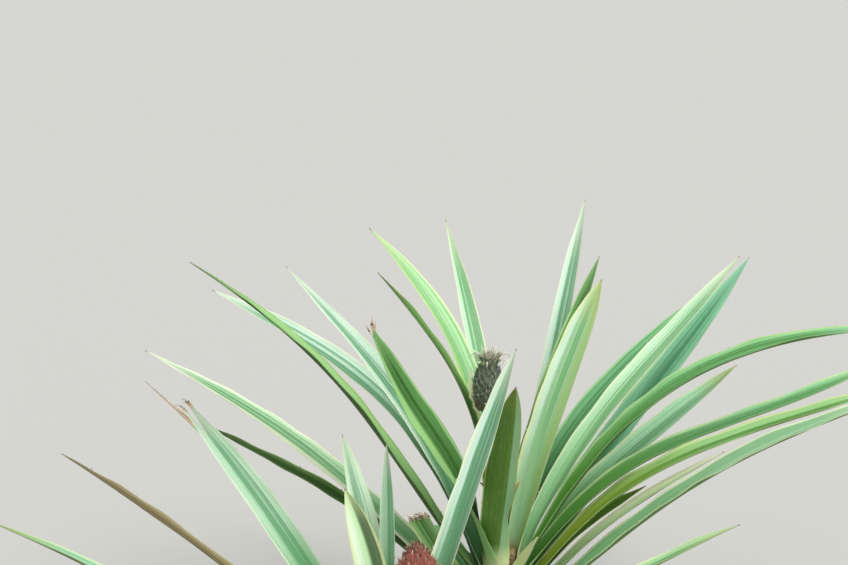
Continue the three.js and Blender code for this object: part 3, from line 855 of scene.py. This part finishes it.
def add_bract(
    shape, rng, root, bearing, length, width, lift, curl, thick, slot, teeth=0.0, cup=38, turn=0
):
    """A pointed scale that rises from its root at an elevation and bends out by an angle. Its face
    looks back along its bearing, or turns away from that."""
    start = rng.uniform(0, 9000)
    out = direction(lift, bearing)
    end = direction(lift - curl, bearing)
    tip = root + (out + end) * 0.5 * length
    path = bezier(root, root + out * 0.4 * length, root + out * 0.75 * length, tip, 60)
    share = np.linspace(0, 1, 12)
    points, ways = along_path(path, share)
    side = level_side(ways, bearing + 90 + turn)
    up = np.cross(ways, side)
    half = width / 2 * (0.72 + 0.9 * share) * (1 - share**1.7) + 0.12
    half *= 1 + teeth * np.where(np.arange(len(share)) % 2, 1, -1) * (share > 0.15)
    add_strap(
        shape, points, side, up, half, cup, thick * (1 - 0.5 * share), BRACT_COLUMNS,
        start + share * length, share, slots=(slot, slot),
    )


def stalk(name, node, foot, head, materials, rows, extra=None):
    """A round stalk with long bracts on it, and an extra one where that is given."""
    path = stalk_path(foot, head)
    share = np.linspace(0, 1, 60)
    points, ways = along_path(path, share)
    turn = 2 * np.pi * np.arange(32) / 32
    ribs = 0.3 * np.sin(7 * turn)[None, :] + 0.15 * np.sin(13 * turn)[None, :]
    shape = Shape()
    add_tube(shape, points, ways, STALK_RADIUS - 0.4 + ribs * np.ones((60, 1)))
    rng = np.random.default_rng(len(name))
    for k in range(rows):
        at = mix(0.08, 0.95, k / rows)
        centre, _ = along_path(path, np.array([at]))
        bearing = k * GOLDEN_ANGLE + 40
        root = beside(centre[0], bearing, STALK_RADIUS - 1.2)
        long = mix(92, 40, at) * rng.uniform(0.85, 1.15)
        add_bract(shape, rng, root, bearing, long, 19, 80, 22, thick=1.1, slot=1, teeth=0.06, cup=62)
    if extra:
        root = beside((head[0], head[1], extra["height"]), extra["bearing"], STALK_RADIUS - 1)
        add_bract(
            shape, rng, root, extra["bearing"], extra["length"], extra["width"], extra["lift"],
            extra["curl"], thick=1.0, slot=2, teeth=0.35, cup=25, turn=extra["turn"],
        )
    shape.build(name, materials, node, "stem")


def barrel(profile, radius, h):
    """A fruit's radius at shares h of its height, from its profile with the corners rounded."""
    r, at = np.array(profile).T
    near = np.linspace(-0.06, 0.06, 13)
    return radius * np.mean([np.interp(np.clip(h + d, 0, 1), at, r) for d in near], axis=0)


# Outlines: shares of the radius at shares of the height
FRUIT_PROFILE = [(0.62, 0), (0.9, 0.16), (1, 0.42), (0.95, 0.68), (0.7, 0.9), (0.4, 1)]
BLOOM_PROFILE = [(0.6, 0), (0.92, 0.18), (1, 0.42), (0.86, 0.68), (0.52, 0.9), (0.18, 1)]


def eyes(count):
    """Bearings and heights of a fruit's eyes, up its spiral."""
    k = np.arange(count)
    return k * GOLDEN_ANGLE % 360, (k + 0.5) / count


def fruit_body(size, profile, count, depth):
    """A barrel with a low dome for each eye and a furrow between neighbours."""
    rows, around = 110, 180
    h = np.linspace(0, 1, rows)
    turn = 360 * np.arange(around) / around
    radius = barrel(profile, size["radius"], h)
    bearings, heights = eyes(count)
    across = (turn[None, :, None] - bearings + 180) % 360 - 180
    across = np.radians(across) * radius[:, None, None]
    rise = (h[:, None, None] - heights) * size["height"]
    apart = np.sort(np.hypot(across, rise), axis=-1)
    spacing = math.sqrt(2 * np.pi * size["radius"] * size["height"] / count)
    dome = smooth(apart[..., 1] - apart[..., 0], 0, 0.5 * spacing) - 0.25 * (apart[..., 0] / spacing) ** 2
    radii = radius[:, None] - depth + depth * dome * np.sqrt(np.sin(np.pi * np.clip(h, 0.04, 0.97)))[:, None]
    points = np.array([size["x"], size["y"], size["bottom"]]) + h[:, None] * UP * size["height"]
    shape = Shape()
    # Bearing 0 of the skin is +X, as that of the eyes
    add_tube(shape, points, np.tile(UP, (rows, 1)), radii)
    return shape


def scale_places(rng, size, profile, count, scales, inset):
    """For each scale of each eye: its share of the height, its width, its root and its bearing."""
    bearings, heights = eyes(count)
    radius = barrel(profile, size["radius"], heights)
    for bearing, h, r in zip(bearings, heights, radius):
        for wide, low in scales:
            foot = size["bottom"] + h * size["height"] - low
            aside = rng.uniform(-5, 5)
            root = beside((size["x"], size["y"], foot), bearing + aside, r - inset)
            yield h, wide, root, bearing + 2 * aside


def main_fruit(materials):
    """Furry with small bract tips: tan ones low down, grey-green ones above."""
    size, count = MAIN_FRUIT, 150
    rng = np.random.default_rng(21)
    shape = fruit_body(size, FRUIT_PROFILE, count, 2.2)
    scales = (6.0, 4.5), (2.6, 2.5), (2.2, 3.5)
    for h, wide, root, bearing in scale_places(rng, size, FRUIT_PROFILE, count, scales, 2.2):
        lift = mix(66, 80, h) + rng.uniform(-12, 10)
        slot = 2 if h + rng.uniform(-0.12, 0.12) < 0.3 else 1
        add_bract(
            shape, rng, root, bearing, rng.uniform(8, 13), wide, lift, rng.uniform(-60, 45),
            thick=0.5, slot=slot, teeth=0.1,
        )
    shape.build("main_fruit_scales", materials, "main_fruit", "fruit")


# Bearing, lift, length, curl and width of the tuft's longest tips: dry ones, and green ones
CROWN_CURLS = [
    (-12, 76, 34, 50, 11), (12, 62, 44, 95, 7), (-30, 66, 38, 130, 8), (35, 74, 36, 80, 6),
    (-20, 50, 36, 90, 7), (60, 75, 34, 60, 7),
]
GREEN_CURLS = [(168, 62, 32, 20, 13), (200, 56, 30, 30, 11), (140, 76, 32, -10, 12), (232, 52, 24, 40, 9)]


def main_crown(materials):
    """A tuft of narrow leaves on the fruit: grey-green inside, pale dry curls outside."""
    size, count = MAIN_FRUIT, 64
    rng = np.random.default_rng(8)
    shape = Shape()
    top = size["bottom"] + size["height"]
    for k in range(count):
        bearing = k * GOLDEN_ANGLE
        outer = 1 - k / count
        root = beside((size["x"], size["y"], top - 3), bearing, mix(1, 12, outer))
        dry = k % 3 == 0
        long = mix(22, 26, outer) * rng.uniform(0.8, 1.2) * (1.35 if dry else 0.8)
        slot = 1 if dry else 0
        wide = rng.uniform(2.5, 4.5) * (1 if dry else 1.4)
        lift = mix(84, 58, outer) + rng.uniform(-8, 8)
        curl = rng.uniform(50, 170) * outer if dry else rng.uniform(-20, 40)
        add_bract(
            shape, rng, root, bearing, long, wide, lift, curl,
            thick=0.6, slot=slot, teeth=0.08, cup=55,
        )
    for slot, curls in ((1, CROWN_CURLS), (2, GREEN_CURLS)):
        for bearing, lift, long, curl, wide in curls:
            root = beside((size["x"], size["y"], top - 4), bearing, 9)
            add_bract(
                shape, rng, root, bearing, long, wide, lift, curl,
                thick=0.7, slot=slot, teeth=0.08, cup=40,
            )
    shape.build("main_crown_tuft", materials, "main_crown", "fruit")


def front_bloom(materials):
    """Soft pointed bracts: salmon ones low down, brownish ones near the top, and a few pale ones."""
    size, count = FRONT_BLOOM, 170
    rng = np.random.default_rng(13)
    shape = fruit_body(size, BLOOM_PROFILE, count, 2.0)
    scales = (9.0, 6.0), (3.4, 4.0), (2.8, 5.0)
    for h, wide, root, bearing in scale_places(rng, size, BLOOM_PROFILE, count, scales, 4):
        long = mix(17, 13, h) * rng.uniform(0.8, 1.25)
        slot = 1 if h + rng.uniform(-0.1, 0.1) < 0.72 else 2
        if rng.uniform() < 0.07:
            slot = 3
        lift = mix(60, 82, h) + rng.uniform(-8, 8)
        add_bract(
            shape, rng, root, bearing, long, wide * mix(1.1, 0.8, h), lift, rng.uniform(-45, 45),
            thick=0.6, slot=slot, teeth=0.07, cup=48,
        )
    shape.build("front_bloom_bracts", materials, "front_bloom", "bloom")


def torn_leaves(materials):
    """What is left of a leaf that broke off low on the main stem, and a pale young one beside it."""
    rng = np.random.default_rng(3)
    shape = Shape()
    bearing = STUB["bearing"]
    root = beside((0, 0, STUB["height"]), bearing, MAIN_STEM["low"] + 2)
    end = np.array(STUB["end"])
    path = bezier(root, root + direction(72, bearing) * 80, mix(root, end, 0.7), end)
    share = np.linspace(0, 1, 30)
    points, ways = along_path(path, share)
    side = level_side(ways, bearing + 90 + STUB["turn"])
    up = np.cross(ways, side)
    half = STUB["width"] / 2 * mix(0.6, 1, smooth(share, 0, 0.5))
    along = share * lengths(path)[-1]
    add_strap(shape, points, side, up, half, 34, 1.8, LEAF_COLUMNS, along, 0.75 * share)
    for k, across in enumerate(np.linspace(-0.9, 0.9, 13)):
        foot = points[-1] + side[-1] * across * half[-1] - ways[-1] * 4
        foot += up[-1] * rng.uniform(-1, 6) * across**2
        slot = 3 if k % 4 == 1 else 2
        add_bract(
            shape, rng, foot, bearing + rng.uniform(-25, 25), rng.uniform(12, 20), rng.uniform(6, 9),
            rng.uniform(45, 75), rng.uniform(-40, 60), thick=0.8, slot=slot, teeth=0.15, cup=30,
        )
    add_bract(
        shape, rng, np.array(PALE_YOUNG["root"]), PALE_YOUNG["bearing"], PALE_YOUNG["length"],
        PALE_YOUNG["width"], PALE_YOUNG["lift"], 4, thick=1.4, slot=4, cup=30, turn=PALE_YOUNG["turn"],
    )
    shape.build("torn_leaves", materials, lot=(4, 2, 2))


# Building the plant

def rosette(prefix, leaves, feet, place, radius_at, paints):
    for i, leaf in enumerate(leaves):
        climb = (i / (len(leaves) - 1)) ** feet["crowd"]
        height = mix(feet["first"], feet["last"], climb)
        leaf_object(prefix, leaf, i, place, height, radius_at, paints)


paints = leaf_paints()
rosette("main", MAIN_LEAVES, MAIN_FEET, np.zeros(3), main_radius, paints)
rosette("front", FRONT_LEAVES, FRONT_FEET, FRONT_PLACE, front_radius, paints)

bark = body_paint("bark", "#6d5a3c", "#94835a", "#4a3a28", 380, 0.0012)
stalk_green = body_paint("stalk_green", "#6e8245", "#8c9a5a", "#a08f5e", 300, 0.0005)
stalk_bract = bract_paint("stalk_bract", "#7f9a52", "#98ae66", "#c9a878", "#e3e2a8")
eye_green = body_paint("eye_green", "#4e5a48", "#687360", "#84856f", 420, 0.0008)
eye_bract = bract_paint("eye_bract", "#62705c", "#98a48e", "#d4d3c2", "#a8ae9a", tip_from=0.7)
eye_tan = bract_paint("eye_tan", "#5e5040", "#8a7862", "#b5a48c", "#978770", tip_from=0.75)
tuft_green = bract_paint("tuft_green", "#6a7452", "#909a76", "#cfcfb4", "#b4b896")
tuft_fresh = bract_paint("tuft_fresh", "#9fcf94", "#c4e6b4", "#e4efd2", "#e6f2d4")
tuft_dry = bract_paint("tuft_dry", "#b5b59c", "#d8d4c4", "#efe9e2", "#f2efe4")
bract_cream = bract_paint("bract_cream", "#e0eea4", "#f0f6c4", "#f8fae0", "#fafae6")
bloom_flesh = body_paint("bloom_flesh", "#8a4a40", "#a35c50", "#6a342c", 350, 0.0008)
bloom_bract = bract_paint("bloom_bract", "#b4625a", "#dd8f80", "#e8ab98", "#e9a896")
bloom_top = bract_paint("bloom_top", "#7a5648", "#a3766a", "#b58c78", "#a98a78")
bloom_pale = bract_paint("bloom_pale", "#dca690", "#ecc4ae", "#f4dccc", "#f2d6c6")
stub_brown = bract_paint("stub_brown", "#6e5440", "#94765c", "#b59a7c", "#a88c70")
stub_cream = bract_paint("stub_cream", "#e6d8b0", "#f4e8cc", "#faf0dc", "#faf2e0")
young_yellow = bract_paint("young_yellow", "#f2fca4", "#fafcc0", "#fcfcd8", "#fcfce4")

stems(bark)
stalk(
    "main_stalk_bracts", "main_stalk",
    UP * (MAIN_STEM["height"] + STALK_SEAT),
    np.array([MAIN_FRUIT["x"], 0, MAIN_FRUIT["bottom"] - STALK_SEAT]),
    [stalk_green, stalk_bract, bract_cream], 12, CREAM_BRACT,
)
stalk(
    "front_stalk_bracts", "front_stalk",
    FRONT_PLACE + UP * (FRONT_STEM["height"] + STALK_SEAT),
    np.array([FRONT_BLOOM["x"], FRONT_BLOOM["y"], FRONT_BLOOM["bottom"] - STALK_SEAT]),
    [stalk_green, stalk_bract], 7,
)
main_fruit([eye_green, eye_bract, eye_tan])
main_crown([tuft_green, tuft_dry, tuft_fresh])
front_bloom([bloom_flesh, bloom_bract, bloom_top, bloom_pale])
torn_leaves([*paints["lime"], stub_cream, stub_brown, young_yellow])


# Floor, light and camera

def floor():
    mesh = bpy.data.meshes.new("floor")
    far = 30.0
    mesh.from_pydata([(-far, -far, 0), (far, -far, 0), (far, far, 0), (-far, far, 0)], [], [(0, 1, 2, 3)])
    paint = Paint("floor_pale", specular=0.2)
    mesh.materials.append(paint.finish(linear("#c4c3be"), 0.9))
    add_object("floor", mesh)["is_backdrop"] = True


def sun():
    light = bpy.data.lights.new("sun", "SUN")
    light.energy = 2.3
    light.angle = math.radians(36)
    thing = add_object("sun", light)
    thing.rotation_euler = (math.radians(22), math.radians(24), 0)


def world():
    sky = bpy.data.worlds.new("sky")
    sky.use_nodes = True
    background = sky.node_tree.nodes["Background"]
    background.inputs["Color"].default_value = (0.97, 0.98, 1.0, 1)
    background.inputs["Strength"].default_value = 0.62
    bpy.context.scene.world = sky


def camera():
    lens = bpy.data.cameras.new("camera")
    lens.sensor_width = SENSOR_WIDTH
    lens.lens = FOCAL_PIXELS * SENSOR_WIDTH / FRAME_WIDTH
    thing = add_object("camera", lens)
    thing.location = CAMERA_PLACE
    thing.rotation_euler = (math.radians(90 - CAMERA_PITCH), 0, 0)
    bpy.context.scene.camera = thing


floor()
world()
sun()
camera()
bpy.context.scene.view_settings.view_transform = "Standard"

boxes = {"cad": cad_box, "visual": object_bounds()}
{k: [[float(v) for v in corner] for corner in box] for k, box in boxes.items()}
